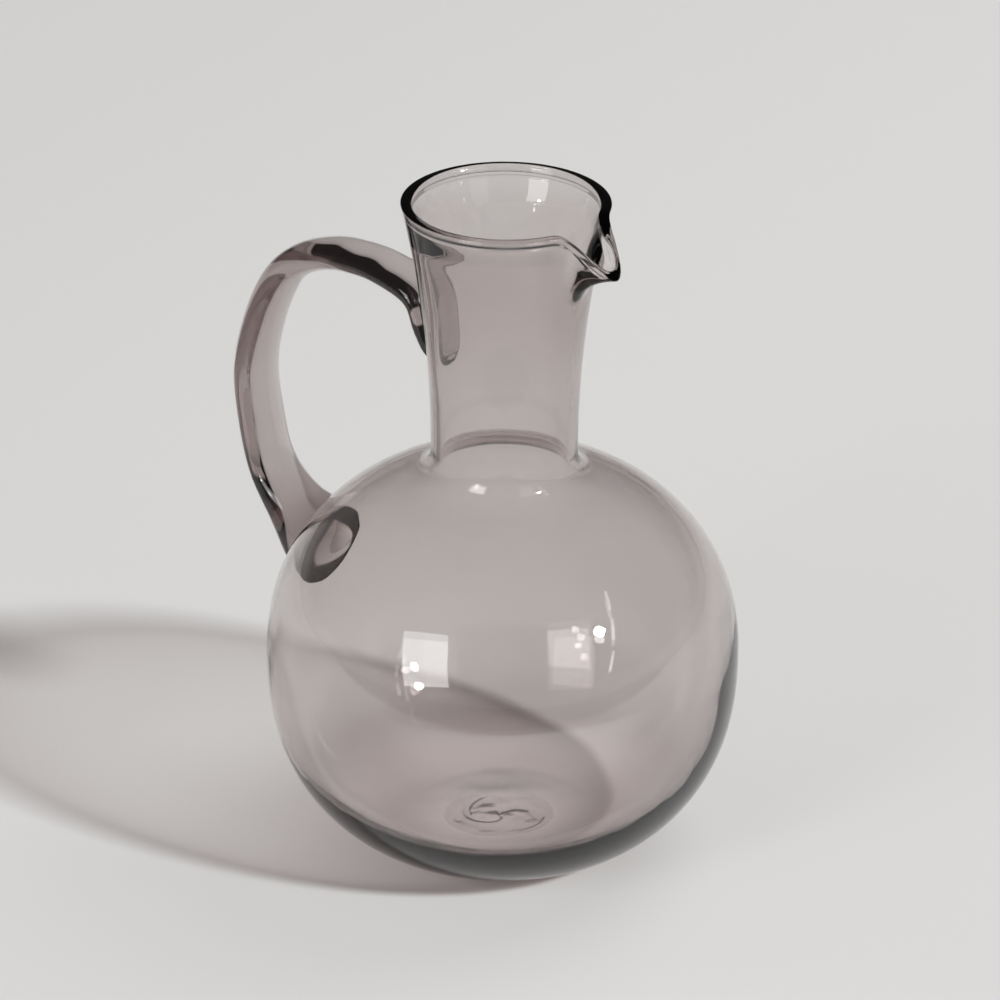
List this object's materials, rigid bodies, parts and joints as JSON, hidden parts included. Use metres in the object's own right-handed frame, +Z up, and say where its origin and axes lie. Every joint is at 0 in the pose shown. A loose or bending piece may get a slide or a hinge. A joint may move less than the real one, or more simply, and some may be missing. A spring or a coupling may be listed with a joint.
{
  "type": "glass pitcher",
  "caption": "Blown smoke-tinted glass pitcher with a round body, flared neck, pinched pouring spout and an applied strap handle.",
  "frame": {"origin": "centre of the foot, on the surface that the pitcher stands on", "axes": "+Z up the neck, +X towards the spout, the handle on the -X side"},
  "size_m": [0.1685, 0.14, 0.204],
  "materials": {
    "smoked_glass": "clear blown glass, smoke tint with a trace of mauve, fire-polished",
    "smoked_glass_solid": "the same glass where it is solid and so looks darker"
  },
  "bodies": {
    "root": {"vessel": "smoked_glass", "handle": "smoked_glass_solid", "pontil_mark": "smoked_glass_solid"}
  },
  "joints": []
}
